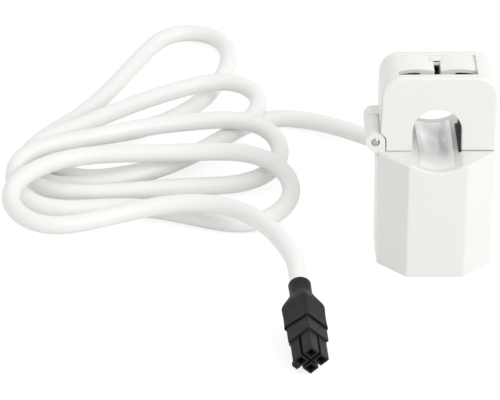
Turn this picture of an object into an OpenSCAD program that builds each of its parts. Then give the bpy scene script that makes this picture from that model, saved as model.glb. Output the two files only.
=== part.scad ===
// Hinged split-core current transformer: an eight-sided lower housing, a hinged upper jaw,
// and a signal cable laid in loose loops that ends in a four-way plug-in connector.
// Millimetres, +Z up, base on z = 0, conductor window along Y, front at -Y.

/* [Lower housing] */
// Width across the side faces at the parting plane
body_w = 36; // [34:1:42]
// Depth from front face to rear face at the parting plane
body_d = 36; // [34:1:42]
// Height of the lower housing, base to parting plane
body_h = 39; // [37:1:46]
// Leg of the corner cuts that make the plan eight-sided
corner_cut = 9; // [8:0.5:10]
// Draft of the moulded side walls in degrees
draft = 0.5; // [0:0.1:0.8]
// Thickness of the side walls
wall = 2; // [1.8:0.1:2.2]
// Thickness of the top deck
deck_t = 2.4; // [2.2:0.1:3]
// Thickness of the base cover
cover_t = 2; // [1.6:0.1:2.4]

/* [Conductor window] */
// Width of the window between the jaw's legs
window_w = 15; // [13:0.5:15.5]
// Height of the arch's crown above the parting plane
window_h = 14.2; // [13:0.2:14.6]
// Depth of the saddle below the parting plane
saddle_sag = 2.4; // [2:0.1:2.8]
// Thickness of the bright metal liners
liner_t = 0.5; // [0.4:0.1:0.6]
// Length of the saddle liner from front to rear
saddle_len = 30.4; // [28:0.4:31]
// Width of the saddle liner in the bottom of the saddle
plate_w = 10.8; // [9:0.2:12]

/* [Jaw] */
// Height of the jaw above the parting plane
jaw_h = 25; // [25:0.5:28]
// Depth of the jaw from front to rear
jaw_d = 19; // [18:0.5:20]
// Distance of the jaw's middle behind the housing's middle
jaw_back = 1.1; // [0.5:0.1:1.2]
// Radius of the jaw's two upper corners
jaw_corner_r = 6.5; // [5:0.5:7]
// Thickness of the jaw's front and rear walls
jaw_wall = 2.2; // [2:0.1:2.4]
// Width of the pocket in the jaw's top
pocket_w = 24; // [23:0.5:25]
// Depth of the pocket in the jaw's top
pocket_d = 13.4; // [13:0.2:13.6]

/* [Hinge] */
// Diameter of the steel hinge pin
pin_d = 2.5; // [2:0.1:2.6]
// Outer radius of the hinge barrel
knuckle_r = 3; // [2.8:0.1:3]
// Distance of the pin's axis outside the housing's left face
pin_out = 0.7; // [0.5:0.1:1]
// Length of the jaw's own hinge knuckle
jaw_knuckle = 5.9; // [5:0.1:7]

/* [Core and coil] */
// Width of a core leg
leg_w = 4.5; // [4:0.1:4.6]
// Height of the core's cross bars
bar_h = 4.7; // [4.2:0.1:4.8]
// Height of the lower core's underside above the table
core_base = 12; // [11:0.5:13]
// Thickness of the coil on its bobbin
coil_t = 3; // [2.4:0.1:3.2]

/* [Cable and connector] */
// Outside diameter of the round cable
cable_d = 5.8; // [5.2:0.1:5.9]
// Height of the cable outlet above the table
exit_z = 9; // [8.5:0.5:10]
// Length of the strain relief outside the rear face
relief_len = 12; // [10:0.5:14]
// Length of the shrink sleeve over the connector's rear
sleeve_len = 20; // [18:0.5:22]
// Width of the shrink sleeve's square end
sleeve_w = 9.9; // [9.6:0.1:10.2]
// Length of the connector block that stands out of the sleeve
block_len = 5.4; // [5:0.1:6]
// Length of the connector's four silos
silo_len = 8; // [7.5:0.5:9]

/* [Fits] */
// Clearance between pieces that sit in each other
fit = 0.15; // [0.1:0.05:0.2]
// Clearance between the jaw and the housing, also the parting line
run_gap = 0.3; // [0.25:0.05:0.4]
// Clearance round the pieces that are pressed into a seat open to view
snug = 0.05; // [0.03:0.01:0.08]
// Radial play of the hinge pin in its bores
pin_play = 0.05; // [0.03:0.01:0.08]

/* [Hidden] */
$fn = 64;
over = 1;
half_w = body_w / 2;
half_d = body_d / 2;
corner_half = (half_w + half_d - corner_cut) / sqrt(2);
rebate = 1;

// Conductor window and saddle
window_r = window_w / 2;
arch_z = body_h + window_h - window_r;
saddle_r = (window_r * window_r + saddle_sag * saddle_sag) / (2 * saddle_sag);
saddle_z = body_h - saddle_sag + saddle_r;
bed_t = 1.4;

// Jaw block
jaw_yc = jaw_back;
jaw_y0 = jaw_yc - jaw_d / 2;
jaw_top = body_h + jaw_h;
pin_x = -half_w - pin_out;
pin_z = body_h + knuckle_r + run_gap - 0.1;
jaw_x0 = pin_x + knuckle_r / 2;
jaw_w = half_w - jaw_x0;
ear_len = jaw_d - jaw_knuckle - run_gap;
knuckle_y = jaw_y0 + ear_len + run_gap;

// Split core
leg_in = window_r + liner_t + 1.2;
leg_out = leg_in + leg_w;
core_d = jaw_d - 2 * jaw_wall - 2 * fit;
core_y0 = jaw_yc - core_d / 2;
pole_gap = 0.1;
upper_bar_z = body_h + window_h + liner_t + 1;
core_top = upper_bar_z + bar_h;

// Latch tab under the jaw's right leg
tab_t = 1.1;
tab_w = 8;
tab_depth = 2.2;
tab_x = leg_out + fit + 0.7;
nib_r = 0.3;

// Spring insert in the jaw's pocket
spring_t = 1.5;
spring_rise = 0.7;
spring_x0 = 0.95;
spring_x1 = pocket_w / 2 - snug;
spring_post = 5.4;
spring_half = (spring_x1 - spring_x0) / 2;
spring_setback = 3.7;
spring_bridge = 3.8;
spring_r = (spring_half * spring_half + spring_rise * spring_rise) / (2 * spring_rise);
spring_crown = jaw_top - snug;
spring_foot = core_top + 0.1;

// Bobbin on the lower core's cross bar
bar_mid = core_base + bar_h / 2;
bob_t = 0.8;
bob_len = 2 * leg_in - 2 * fit;
flange_t = 1;
tube_y = core_d / 2 + fit + bob_t;
tube_z = bar_h / 2 + fit + bob_t;
flange_y = tube_y + coil_t + 0.4;
flange_z = tube_z + coil_t + 0.4;
flange_top = bar_mid + flange_z;
tape_t = 0.3;
tape_w = 9;

// Circuit board on the bobbin's flanges
board_t = 1.6;
board_w = bob_len - 1;
board_d = 20;
board_y0 = jaw_yc - board_d / 2;
board_z = flange_top + 0.05;
board_top = board_z + board_t;
lead_r = 0.3;
hole_r = 0.45;
resistor_x = -4;
resistor_r = 1.1;
resistor_len = 6;
diode_x = [1.6, 4.8];
diode_r = 0.9;
diode_len = 4;
lead_out = 1.6;
lead_tail = 0.3;

// Cable outlet
rear_y = half_d - (body_h - exit_z) * tan(draft);
seat_gap = 0.1;
relief_flange = 1.1;
relief_y0 = rear_y - wall - seat_gap - relief_flange;
relief_end = rear_y + relief_len;
relief_r0 = 4.6;
relief_r1 = 3.8;
relief_flange_r = 5;
outlet_r = 4;
cable_r = cable_d / 2;
wire_r = 0.5;
wire_x = 1.3;
wire_y = (jaw_yc + tube_y + coil_t + relief_y0) / 2;

// Connector, built along -Y from the sleeve's neck and turned into place
plug_pos = [-42.5, -42, 11.8];
plug_yaw = 4.5;
plug_pitch = 11;
plug_roll = 45;
plug_dir = [cos(plug_pitch) * sin(plug_yaw), -cos(plug_pitch) * cos(plug_yaw), -sin(plug_pitch)];
neck_r = 3.5;
neck_len = 5.7;
shoulder_end = 11.2;
sleeve_t = 0.5;
sleeve_corner = 1.2;
block_w = sleeve_w - 2 * sleeve_t - 0.2;
block_low = 4.1;
block_tail = 5;
block_end = sleeve_len + block_len;
nose = block_end + silo_len;
pitch = 4.2;
silo_w = 3.4;
terminal_w = 1.8;
cavity_w = 2.2;
crimp = 3;
contact_depth = 2.5;
core_x = 1.6;
lever_w = 2.2;
lever_top = 4.9;
lever_t = 1;
lever_rear = sleeve_len + 0.6;
lever_front = nose - 2;
pivot_y = block_end - 1;
pivot_z = 4.55;
pivot_r = 0.4;

// Cable route: control points of a cubic spline, from the strain relief to the sleeve's neck
straight = cable_d + 0.2;
out_of_relief = [for (k = [-1 : 2]) [0, relief_end + k * straight, exit_z]];
into_sleeve = [for (k = [-2 : 1]) plug_pos + k * straight * plug_dir];
loops = [
    [-4, 50, 8], [-14, 61, 6], [-24, 72, 4.5], [-36, 81, 3.5], [-48, 84, 3],
    [-58.5, 78, 3], [-68, 64, 3], [-82, 51, 3], [-100, 42, 3], [-111, 41, 3],
    [-119, 46, 3], [-122, 54, 3], [-119, 62.5, 3.5], [-109.5, 69, 3.5], [-96, 73, 3],
    [-83, 81, 3], [-72, 95, 3], [-65, 112, 3], [-61.5, 129, 3], [-65, 143, 3.5],
    [-75, 148, 4], [-86, 144.5, 4], [-93.5, 128, 3.5], [-103.5, 103, 3], [-113, 84, 3],
    [-123.5, 72, 3], [-129, 60, 3], [-129, 48, 3], [-122.5, 37, 3], [-110.5, 34.5, 4],
    [-98, 36.5, 5], [-82, 44, 6], [-69, 56, 7], [-59, 68, 7.5], [-52, 78, 9.5],
    [-53.5, 88, 10.5], [-61, 94, 11.5], [-71, 94, 11], [-82, 88.5, 10.5], [-94, 80, 10.5],
    [-106, 70, 10], [-116, 60, 10.5], [-126, 52, 11], [-130, 42, 9], [-128, 34, 6],
    [-120.5, 28, 5.5], [-107.5, 27.5, 5], [-92, 30.5, 4.5], [-76, 34, 4], [-59.5, 36, 3],
    [-49, 42, 4.5], [-45.5, 50, 7], [-47.5, 57.5, 10], [-54, 62.5, 12], [-63.5, 62, 14],
    [-78, 58, 14.5], [-92, 54, 15], [-105.5, 47, 15.5], [-121.5, 42, 15], [-130, 36, 14.5],
    [-132.5, 29, 11], [-130, 21.5, 8.5], [-123, 16.5, 6], [-111.5, 18, 4.5], [-98, 22, 3.5],
    [-86, 20, 3.5], [-72, 14.5, 3], [-60, 10, 3], [-50, 12, 4], [-43, 21.5, 5.5],
    [-43, 30.5, 8], [-48, 38, 10.5], [-57, 42, 12], [-67.5, 42, 12.5], [-80, 40, 13],
    [-95, 38, 14], [-109.5, 36, 14.5], [-120.5, 30, 15], [-130, 20, 15], [-133, 9, 13.5],
    [-128, 0, 11.5], [-119, -4, 10.5], [-107.5, 0, 10], [-96, 6, 10], [-83, 10, 11],
    [-70.5, 10, 11.5], [-60, 3.5, 12.5], [-53, -6.5, 13.5], [-48, -17.5, 14.5]
];
route = concat(out_of_relief, loops, into_sleeve);
cable_sides = 6;
ring_steps = 2;
gap_steps = 6;
loop_apart = 26;

shell_color = [0.93, 0.93, 0.91];
metal_color = [0.75, 0.76, 0.78];
core_color = [0.25, 0.25, 0.27];
copper_color = [0.72, 0.42, 0.2];
bobbin_color = [0.85, 0.8, 0.65];
tape_color = [0.85, 0.7, 0.2];
board_color = [0.1, 0.4, 0.2];
black_color = [0.1, 0.1, 0.1];
cable_color = [0.95, 0.95, 0.95];
terminal_color = [0.8, 0.7, 0.45];

// Point on the cable's spline: segment i, fraction t
function spline_at(i, t) =
    (pow(1 - t, 3) * route[i - 1]
    + (3 * pow(t, 3) - 6 * t * t + 4) * route[i]
    + (-3 * pow(t, 3) + 3 * t * t + 3 * t + 1) * route[i + 1]
    + pow(t, 3) * route[i + 2]) / 6;

function spline_points(steps) = concat(
    [for (i = [1 : len(route) - 3], k = [0 : steps - 1]) spline_at(i, k / steps)],
    [route[len(route) - 2]]);

function unit(v) = v / norm(v);

// Six-sided ring of the cable round a centre point, square to the run
function ring(at, along) =
    let (side = unit(cross(along, [0, 0, 1])), up = cross(side, along))
    [for (k = [0 : cable_sides - 1])
        at + cable_r * (cos(360 * k / cable_sides) * side + sin(360 * k / cable_sides) * up)];

function run_at(line, i) = unit(line[min(i + 1, len(line) - 1)] - line[max(i - 1, 0)]);

// Running length at each point of a line
function lengths(line, i = 0, sum = 0) =
    i == len(line) ? [] : concat([sum],
        lengths(line, i + 1, sum + (i + 1 < len(line) ? norm(line[i + 1] - line[i]) : 0)));

function least_gap(line) =
    let (run = lengths(line))
    min([for (i = [0 : len(line) - 1], j = [i + 1 : 1 : len(line) - 1])
        if (run[j] - run[i] > loop_apart) norm(line[i] - line[j])]) - cable_d;

// Plan outline drawn in by inset, between two heights, with drafted faces
module drafted_slab(half, inset, z0, z1, turn) {
    low = half - (body_h - z0) * tan(draft) - inset;
    high = half - (body_h - z1) * tan(draft) - inset;
    rotate([0, 0, turn])
        rotate([90, 0, 0])
            linear_extrude(height = 4 * body_w, center = true)
                polygon([[-low, z0], [low, z0], [high, z1], [-high, z1]]);
}

module octagon(inset, z0, z1) {
    intersection() {
        drafted_slab(half_w, inset, z0, z1, 0);
        drafted_slab(half_d, inset, z0, z1, 90);
        drafted_slab(corner_half, inset, z0, z1, 45);
        drafted_slab(corner_half, inset, z0, z1, -45);
    }
}

// Profile drawn in X and Z, carried along Y from y0
module along_y(y0, length) {
    translate([0, y0 + length, 0])
        rotate([90, 0, 0])
            linear_extrude(height = length)
                children();
}

// Cylinder along +Y from a point
module rod_y(at, radius, length) {
    translate(at)
        rotate([-90, 0, 0])
            cylinder(r = radius, h = length);
}

module saddle_cylinder(radius, length) {
    rod_y([0, -length / 2, saddle_z], radius, length);
}

// Middle strip of the saddle, between the bore and an outer radius
module saddle_plate(width, radius, length) {
    intersection() {
        difference() {
            saddle_cylinder(radius, length);
            saddle_cylinder(saddle_r, length + over);
        }
        translate([-width / 2, -half_d, 0])
            cube([width, body_d, body_h]);
    }
}

module ear_profile() {
    translate([pin_x, pin_z])
        circle(r = knuckle_r);
    polygon([
        [pin_x - knuckle_r * cos(35), pin_z - knuckle_r * sin(35)],
        [-half_w + wall / 2, body_h - deck_t],
        [pin_x + knuckle_r, body_h - deck_t / 2],
        [pin_x + knuckle_r, pin_z]]);
}

module lower_housing() {
    slot_w = tab_t + 2 * nib_r + 0.9;
    color(shell_color)
        difference() {
            union() {
                difference() {
                    octagon(0, 0, body_h);
                    octagon(wall, -over, body_h - deck_t);
                }
                intersection() {
                    octagon(wall / 2, body_h / 2, body_h);
                    saddle_cylinder(saddle_r + liner_t + fit + bed_t, body_d);
                }
                along_y(jaw_y0, ear_len)
                    ear_profile();
            }
            saddle_cylinder(saddle_r, 2 * body_d);
            saddle_plate(plate_w + 2 * snug, saddle_r + liner_t + fit / 2, saddle_len + 2 * snug);
            for (side = [-1, 1])
                translate([side * (leg_in + leg_w / 2), jaw_yc, body_h])
                    cube([leg_w + 2 * fit, core_d + 2 * fit, 4 * deck_t], center = true);
            octagon(wall - rebate, -over, cover_t);
            rod_y([0, half_d - 2 * wall, exit_z], outlet_r + fit, 4 * wall);
            rod_y([pin_x, jaw_y0 - over, pin_z], pin_d / 2 + pin_play, ear_len + 2 * over);
            translate([tab_x - 0.2, jaw_yc - tab_w / 2 - run_gap, body_h - 2 * deck_t])
                cube([slot_w, tab_w + 2 * run_gap, 4 * deck_t]);
        }
}

module bottom_cover() {
    post_w = leg_w - 1;
    color(shell_color) {
        octagon(wall - rebate + fit, 0, cover_t);
        for (side = [-1, 1])
            translate([side * (leg_in + leg_w / 2) - post_w / 2, jaw_yc - core_d / 4, 0])
                cube([post_w, core_d / 2, core_base]);
    }
}

module lower_core() {
    color(core_color)
        along_y(core_y0, core_d)
            union() {
                translate([-leg_out, core_base])
                    square([2 * leg_out, bar_h]);
                for (x0 = [-leg_out, leg_in])
                    translate([x0, core_base])
                        square([leg_w, body_h - core_base]);
            }
}

// Rectangular sleeve round the core's cross bar, centred on it
module bar_box(length, reach_y, reach_z) {
    translate([-length / 2, jaw_yc - reach_y, bar_mid - reach_z])
        cube([length, 2 * reach_y, 2 * reach_z]);
}

// Winding block with round corners, carried along X
module wound_block(length, reach_y, reach_z, corner) {
    translate([-length / 2, jaw_yc, bar_mid])
        rotate([90, 0, 90])
            linear_extrude(height = length)
                union() {
                    square([2 * reach_y, 2 * (reach_z - corner)], center = true);
                    square([2 * (reach_y - corner), 2 * reach_z], center = true);
                    for (y = [-1, 1], z = [-1, 1])
                        translate([y * (reach_y - corner), z * (reach_z - corner)])
                            circle(r = corner);
                }
}

module bobbin() {
    color(bobbin_color)
        difference() {
            union() {
                bar_box(bob_len, tube_y, tube_z);
                for (side = [-1, 1])
                    translate([side * (bob_len - flange_t) / 2, 0, 0])
                        bar_box(flange_t, flange_y, flange_z);
            }
            bar_box(bob_len + 2 * over, core_d / 2 + fit, bar_h / 2 + fit);
        }
}

module secondary_winding() {
    color(copper_color)
        difference() {
            wound_block(bob_len - 2 * flange_t - 0.1, tube_y + coil_t - tape_t, tube_z + coil_t - tape_t, coil_t - 0.4);
            bar_box(bob_len, tube_y + 0.05, tube_z + 0.05);
        }
}

module winding_tape() {
    color(tape_color)
        difference() {
            wound_block(tape_w, tube_y + coil_t, tube_z + coil_t, coil_t);
            wound_block(tape_w + over, tube_y + coil_t - tape_t + 0.05, tube_z + coil_t - tape_t + 0.05, coil_t - 0.4);
        }
}

// Places of the bobbin pins on the two flanges
pin_spots = [for (side = [-1, 1]) [side * (bob_len - flange_t) / 2, board_y0 + 3]];
resistor_half = resistor_len / 2 + lead_out;
diode_half = diode_len / 2 + lead_out;
lead_spots = concat(
    [for (side = [-1, 1]) [resistor_x, jaw_yc + side * resistor_half]],
    [for (x = diode_x, side = [-1, 1]) [x, jaw_yc - 2 + side * diode_half]]);

module circuit_board() {
    color(board_color)
        difference() {
            translate([-board_w / 2 - flange_t / 2, board_y0, board_z])
                cube([board_w + flange_t, board_d, board_t]);
            for (spot = concat(pin_spots, lead_spots))
                translate([spot[0], spot[1], board_z - over])
                    cylinder(r = hole_r, h = board_t + 2 * over);
        }
}

module bobbin_pins() {
    color(metal_color)
        for (spot = pin_spots)
            translate([spot[0], spot[1], flange_top])
                cylinder(r = lead_r, h = board_t + 1.2);
}

// Small leaded component lying along Y on the board
module leaded(x, y, radius, length) {
    axis_z = board_top + radius + 0.1;
    reach = length / 2 + lead_out;
    rod_y([x, y - length / 2, axis_z], radius, length);
    rod_y([x, y - reach, axis_z], lead_r, 2 * reach);
    for (side = [-1, 1]) {
        translate([x, y + side * reach, axis_z])
            sphere(r = lead_r);
        translate([x, y + side * reach, board_z - lead_tail])
            cylinder(r = lead_r, h = axis_z - board_z + lead_tail);
    }
}

module burden_resistor() {
    color(bobbin_color)
        leaded(resistor_x, jaw_yc, resistor_r, resistor_len);
}

module protection_diodes() {
    color(black_color)
        for (x = diode_x)
            leaded(x, jaw_yc - 2, diode_r, diode_len);
}

// Insulated wires from the board, down behind the coil and into the cable's inner end
module lead_wires() {
    top_z = board_top + wire_r + 0.05;
    start_y = board_y0 + board_d - 3;
    color(cable_color)
        for (side = [-1, 1])
            translate([side * wire_x, 0, 0]) {
                rod_y([0, start_y, top_z], wire_r, wire_y - start_y);
                translate([0, wire_y, top_z])
                    sphere(r = wire_r);
                translate([0, wire_y, exit_z])
                    cylinder(r = wire_r, h = top_z - exit_z);
                translate([0, wire_y, exit_z])
                    sphere(r = wire_r);
                rod_y([0, wire_y, exit_z], wire_r, relief_y0 - wire_y);
            }
}

module saddle_liner() {
    color(metal_color)
        saddle_plate(plate_w, saddle_r + liner_t, saddle_len);
}

module hinge_pin() {
    head = 0.4;
    color(metal_color)
        translate([pin_x, jaw_y0, pin_z])
            rotate([-90, 0, 0])
                rotate_extrude()
                    polygon([[0, -0.1], [pin_d / 2 - head, -0.1], [pin_d / 2, head - 0.1],
                        [pin_d / 2, jaw_d - 1.5], [0, jaw_d - 1.5]]);
}

module strain_relief() {
    through = relief_flange + wall + 2 * seat_gap;
    body = through + relief_flange;
    total = relief_end - relief_y0;
    groove = 0.9;
    ribs = 3;
    step = (total - body) / (ribs + 1);
    color(shell_color)
        translate([0, relief_y0, exit_z])
            rotate([-90, 0, 0])
                difference() {
                    rotate_extrude()
                        polygon([
                            [cable_r + 0.05, 0], [relief_flange_r, 0], [relief_flange_r, relief_flange],
                            [outlet_r, relief_flange], [outlet_r, through], [relief_flange_r, through],
                            [relief_flange_r, body], [relief_r0, body], [relief_r1, total],
                            [cable_r + 0.05, total]]);
                    for (k = [1 : ribs])
                        translate([0, 0, body + k * step - groove / 2])
                            rotate_extrude()
                                translate([cable_r + 0.6, 0])
                                    square([relief_flange_r, groove]);
                }
}

module at_plug() {
    translate(plug_pos)
        rotate([0, 0, plug_yaw])
            rotate([plug_pitch, 0, 0])
                rotate([0, plug_roll, 0])
                    children();
}

// Rod along the connector's axis, from a distance behind the nose side
module plug_rod(x, z, radius, from, to) {
    translate([x, -from, z])
        rotate([90, 0, 0])
            cylinder(r = radius, h = to - from);
}

module plug_bar(x0, z0, width, height, from, to) {
    translate([x0, -to, z0])
        cube([width, to - from, height]);
}

module sleeve_section(width, corner, from, to) {
    inner = width - 2 * corner;
    translate([0, -from, 0])
        rotate([90, 0, 0])
            linear_extrude(height = to - from)
                union() {
                    square([width, inner], center = true);
                    square([inner, width], center = true);
                    for (x = [-1, 1], z = [-1, 1])
                        translate([x * inner / 2, z * inner / 2])
                            circle(r = corner, $fn = 24);
                }
}

module cable_ends() {
    color(cable_color) {
        rod_y([0, relief_y0, exit_z], cable_r, relief_end - relief_y0);
        at_plug()
            plug_rod(0, 0, cable_r, 0, neck_len);
    }
}

module cable() {
    line = spline_points(ring_steps);
    rings = len(line);
    last = (rings - 1) * cable_sides;
    points = [for (i = [0 : rings - 1]) each ring(line[i], run_at(line, i))];
    sides = [for (i = [0 : rings - 2], k = [0 : cable_sides - 1])
        let (a = i * cable_sides + k, b = i * cable_sides + (k + 1) % cable_sides)
        each [[a, a + cable_sides, b], [b, a + cable_sides, b + cable_sides]]];
    ends = [for (k = [1 : cable_sides - 2])
        each [[0, k, k + 1], [last, last + k + 1, last + k]]];
    fine = spline_points(gap_steps);
    echo(cable_least_gap = least_gap(fine), cable_length = lengths(fine)[len(fine) - 1]);
    color(cable_color)
        polyhedron(points = points, faces = concat(sides, ends), convexity = 12);
}

module jaw_outline() {
    base = body_h + run_gap;
    translate([jaw_x0, base])
        square([jaw_w, jaw_top - base - jaw_corner_r]);
    translate([jaw_x0 + jaw_corner_r, base])
        square([jaw_w - 2 * jaw_corner_r, jaw_top - base]);
    for (x = [jaw_x0 + jaw_corner_r, half_w - jaw_corner_r])
        translate([x, jaw_top - jaw_corner_r])
            circle(r = jaw_corner_r);
}

module arch_profile(radius) {
    translate([0, arch_z])
        circle(r = radius);
    translate([-radius, body_h - over])
        square([2 * radius, arch_z - body_h + over]);
}

module knuckle_profile() {
    translate([pin_x, pin_z])
        circle(r = knuckle_r);
    translate([pin_x, pin_z - knuckle_r + 0.1])
        square([jaw_x0 + jaw_wall - pin_x, 2 * knuckle_r - 0.1]);
}

// Space that the housing's ear needs inside the jaw's left side as the jaw swings
module ear_space() {
    reach = knuckle_r + run_gap;
    translate([pin_x, pin_z])
        circle(r = reach);
    translate([pin_x - 2 * reach, body_h - over])
        square([3 * reach, pin_z - body_h + over]);
}

module jaw_shell() {
    color(shell_color)
        difference() {
            union() {
                along_y(jaw_y0, jaw_d)
                    jaw_outline();
                along_y(knuckle_y, jaw_knuckle)
                    knuckle_profile();
                translate([tab_x, jaw_yc - tab_w / 2, body_h - tab_depth])
                    cube([tab_t, tab_w, tab_depth + 2 * run_gap]);
                rod_y([tab_x + tab_t, jaw_yc - tab_w / 2, body_h - tab_depth + 2 * nib_r], nib_r, tab_w);
            }
            along_y(jaw_y0 - over, jaw_d + 2 * over)
                arch_profile(window_r);
            translate([-leg_out - fit, jaw_y0 + jaw_wall, body_h - over])
                cube([2 * (leg_out + fit), jaw_d - 2 * jaw_wall, core_top + 2 * fit - body_h + over]);
            translate([-pocket_w / 2, jaw_yc - pocket_d / 2, core_top])
                cube([pocket_w, pocket_d, jaw_top]);
            along_y(jaw_y0 - over, ear_len + run_gap + over)
                ear_space();
            rod_y([pin_x, knuckle_y - over, pin_z], pin_d / 2 + pin_play, jaw_y0 + jaw_d - 1.3 - knuckle_y + over);
        }
}

module upper_core() {
    foot = body_h + pole_gap;
    color(core_color)
        along_y(core_y0, core_d)
            union() {
                translate([-leg_out, upper_bar_z])
                    square([2 * leg_out, bar_h]);
                for (x0 = [-leg_out, leg_in])
                    translate([x0, foot])
                        square([leg_w, core_top - foot]);
            }
}

module jaw_liner() {
    length = jaw_d - 2 * jaw_wall - 2 * fit;
    color(metal_color)
        intersection() {
            along_y(jaw_yc - length / 2, length)
                difference() {
                    arch_profile(window_r + liner_t);
                    arch_profile(window_r);
                }
            translate([-half_w, -half_d, body_h + run_gap])
                cube([body_w, body_d, jaw_h]);
        }
}

// Right-hand spring arm: an arched tongue, free at its outer end, on a post beside the middle slot
module spring_profile() {
    mid = (spring_x0 + spring_x1) / 2;
    arc_z = spring_crown - spring_r;
    springing = spring_crown - spring_rise;
    intersection() {
        translate([mid, arc_z])
            difference() {
                circle(r = spring_r);
                circle(r = spring_r - spring_t);
            }
        translate([spring_x0, springing - spring_t])
            square([2 * spring_half, spring_rise + spring_t]);
    }
    intersection() {
        translate([mid, arc_z])
            circle(r = spring_r - spring_t / 2);
        translate([spring_x0, spring_foot])
            square([spring_post - spring_x0, spring_crown - spring_foot]);
    }
}

module core_retainer() {
    arm_y0 = jaw_yc - pocket_d / 2 + spring_setback;
    rear = jaw_yc + pocket_d / 2 - snug;
    color(shell_color)
        union() {
            along_y(arm_y0, rear - arm_y0) {
                spring_profile();
                mirror([1, 0])
                    spring_profile();
            }
            translate([-2 * spring_x0, rear - spring_bridge, spring_crown - spring_rise / 2 - spring_t])
                cube([4 * spring_x0, spring_bridge, spring_t]);
        }
}

module shrink_sleeve() {
    color(black_color)
        at_plug()
            difference() {
                union() {
                    plug_rod(0, 0, neck_r, 0, neck_len);
                    hull() {
                        plug_rod(0, 0, neck_r, neck_len - 0.2, neck_len);
                        sleeve_section(sleeve_w, sleeve_corner, shoulder_end, shoulder_end + 0.2);
                    }
                    sleeve_section(sleeve_w, sleeve_corner, shoulder_end, sleeve_len);
                }
                plug_rod(0, 0, cable_r + 0.05, -over, neck_len);
                plug_rod(0, 0, neck_r - 0.6, neck_len - over / 10, shoulder_end);
                sleeve_section(sleeve_w - 2 * sleeve_t, sleeve_corner / 6, shoulder_end, sleeve_len + over);
            }
}

module connector_housing() {
    spots = [-pitch / 2, pitch / 2];
    color(black_color)
        at_plug()
            difference() {
                union() {
                    plug_bar(-block_w / 2, -block_low, block_w, block_w / 2 + block_low, sleeve_len - block_tail, block_end);
                    for (x = spots, z = spots)
                        plug_bar(x - silo_w / 2, z - silo_w / 2, silo_w, silo_w, block_end - over, nose);
                }
                for (x = spots, z = spots)
                    plug_bar(x - cavity_w / 2, z - cavity_w / 2, cavity_w, cavity_w, sleeve_len - block_tail - over, nose + over);
            }
}

module connector_terminals() {
    from = sleeve_len - block_tail + crimp;
    color(terminal_color)
        at_plug()
            for (x = [-pitch / 2, pitch / 2])
                plug_bar(x - terminal_w / 2, pitch / 2 - terminal_w / 2, terminal_w, terminal_w, from, nose - contact_depth);
}

module connector_wires() {
    color(cable_color)
        at_plug()
            for (x = [-core_x, core_x])
                plug_rod(x, core_x, wire_r, neck_len, sleeve_len - block_tail + crimp);
}

module connector_latch() {
    pad = 2;
    hook = 1.6;
    step = 0.5;
    color(black_color)
        at_plug() {
            plug_bar(-lever_w / 2, -lever_top - lever_t, lever_w, lever_t, lever_rear, lever_front);
            plug_bar(-lever_w / 2, -lever_top - lever_t - step, lever_w, step + 0.1, lever_rear, lever_rear + pad);
            plug_bar(-lever_w / 2, -lever_top - lever_t - step, lever_w, step + 0.1, lever_front - hook, lever_front);
            plug_bar(-lever_w / 2, -lever_top - 0.1, lever_w, lever_top - pivot_z + 0.1, pivot_y - pivot_r, pivot_y + pivot_r);
            translate([-lever_w / 2, -pivot_y, -pivot_z])
                rotate([0, 90, 0])
                    cylinder(r = pivot_r, h = lever_w, $fn = 32);
        }
}

lower_housing();
bottom_cover();
lower_core();
bobbin();
secondary_winding();
winding_tape();
circuit_board();
bobbin_pins();
burden_resistor();
protection_diodes();
lead_wires();
saddle_liner();
hinge_pin();
strain_relief();
cable_ends();
cable();
jaw_shell();
upper_core();
jaw_liner();
core_retainer();
shrink_sleeve();
connector_housing();
connector_terminals();
connector_wires();
connector_latch();
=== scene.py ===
"""Dressed scene of a hinged split-core current transformer on its looped signal cable."""
import logging
import math
from dataclasses import dataclass, field
from enum import Enum
from typing import Callable, Dict, List, Optional, Sequence, Tuple, Union

import bmesh
import bpy
from bmesh.types import BMesh, BMVert
from bpy.types import Material, Node, NodeSocket, NodeTree, Object
from mathutils import Matrix, Vector


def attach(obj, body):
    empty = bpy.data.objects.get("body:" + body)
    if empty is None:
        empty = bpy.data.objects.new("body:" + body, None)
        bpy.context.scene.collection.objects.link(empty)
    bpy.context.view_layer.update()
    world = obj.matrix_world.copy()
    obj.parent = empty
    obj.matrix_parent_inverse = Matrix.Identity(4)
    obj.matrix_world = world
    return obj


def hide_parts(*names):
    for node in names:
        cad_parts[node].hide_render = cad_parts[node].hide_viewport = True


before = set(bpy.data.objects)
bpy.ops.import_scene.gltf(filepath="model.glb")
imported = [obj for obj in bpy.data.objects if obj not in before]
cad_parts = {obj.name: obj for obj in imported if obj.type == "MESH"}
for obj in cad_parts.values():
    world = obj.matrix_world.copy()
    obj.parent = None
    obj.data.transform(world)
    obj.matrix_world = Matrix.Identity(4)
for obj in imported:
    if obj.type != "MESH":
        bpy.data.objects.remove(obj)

LOG = logging.getLogger("clamp")
MM = 0.001

# Limits for cleaning a mesh and telling its edges, in metres and in degrees
WELD = 2e-6
FLAT_ANGLE = 0.4
EDGE_ANGLE = 20.0
SHARP_ANGLE = 40.0

# Distance from a plane at which a point counts as on it, in millimetres
NEAR = 0.02

Colour = Tuple[float, float, float]
Point = Tuple[float, float, float]
Pair = Tuple[float, float]
Outline = List[Pair]
Sockets = Sequence[Tuple[str, str]]
Value = Union[NodeSocket, float, Tuple[float, ...]]
Inputs = Dict[Union[str, int], Value]
EdgeRule = Callable[[Sequence[Vector], float], float]


class Body(str, Enum):
    """The CAD bodies that a piece can ride on."""

    HOUSING = "housing"
    JAW = "jaw"
    PLUG_LATCH = "plug_latch"


class Axis(Enum):
    """Direction that the bands of a finish follow each other in."""

    X = (1.0, 0.0, 0.0)
    Y = (0.0, 1.0, 0.0)


# Shader nodes, and the node groups that the finishes share

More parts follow.
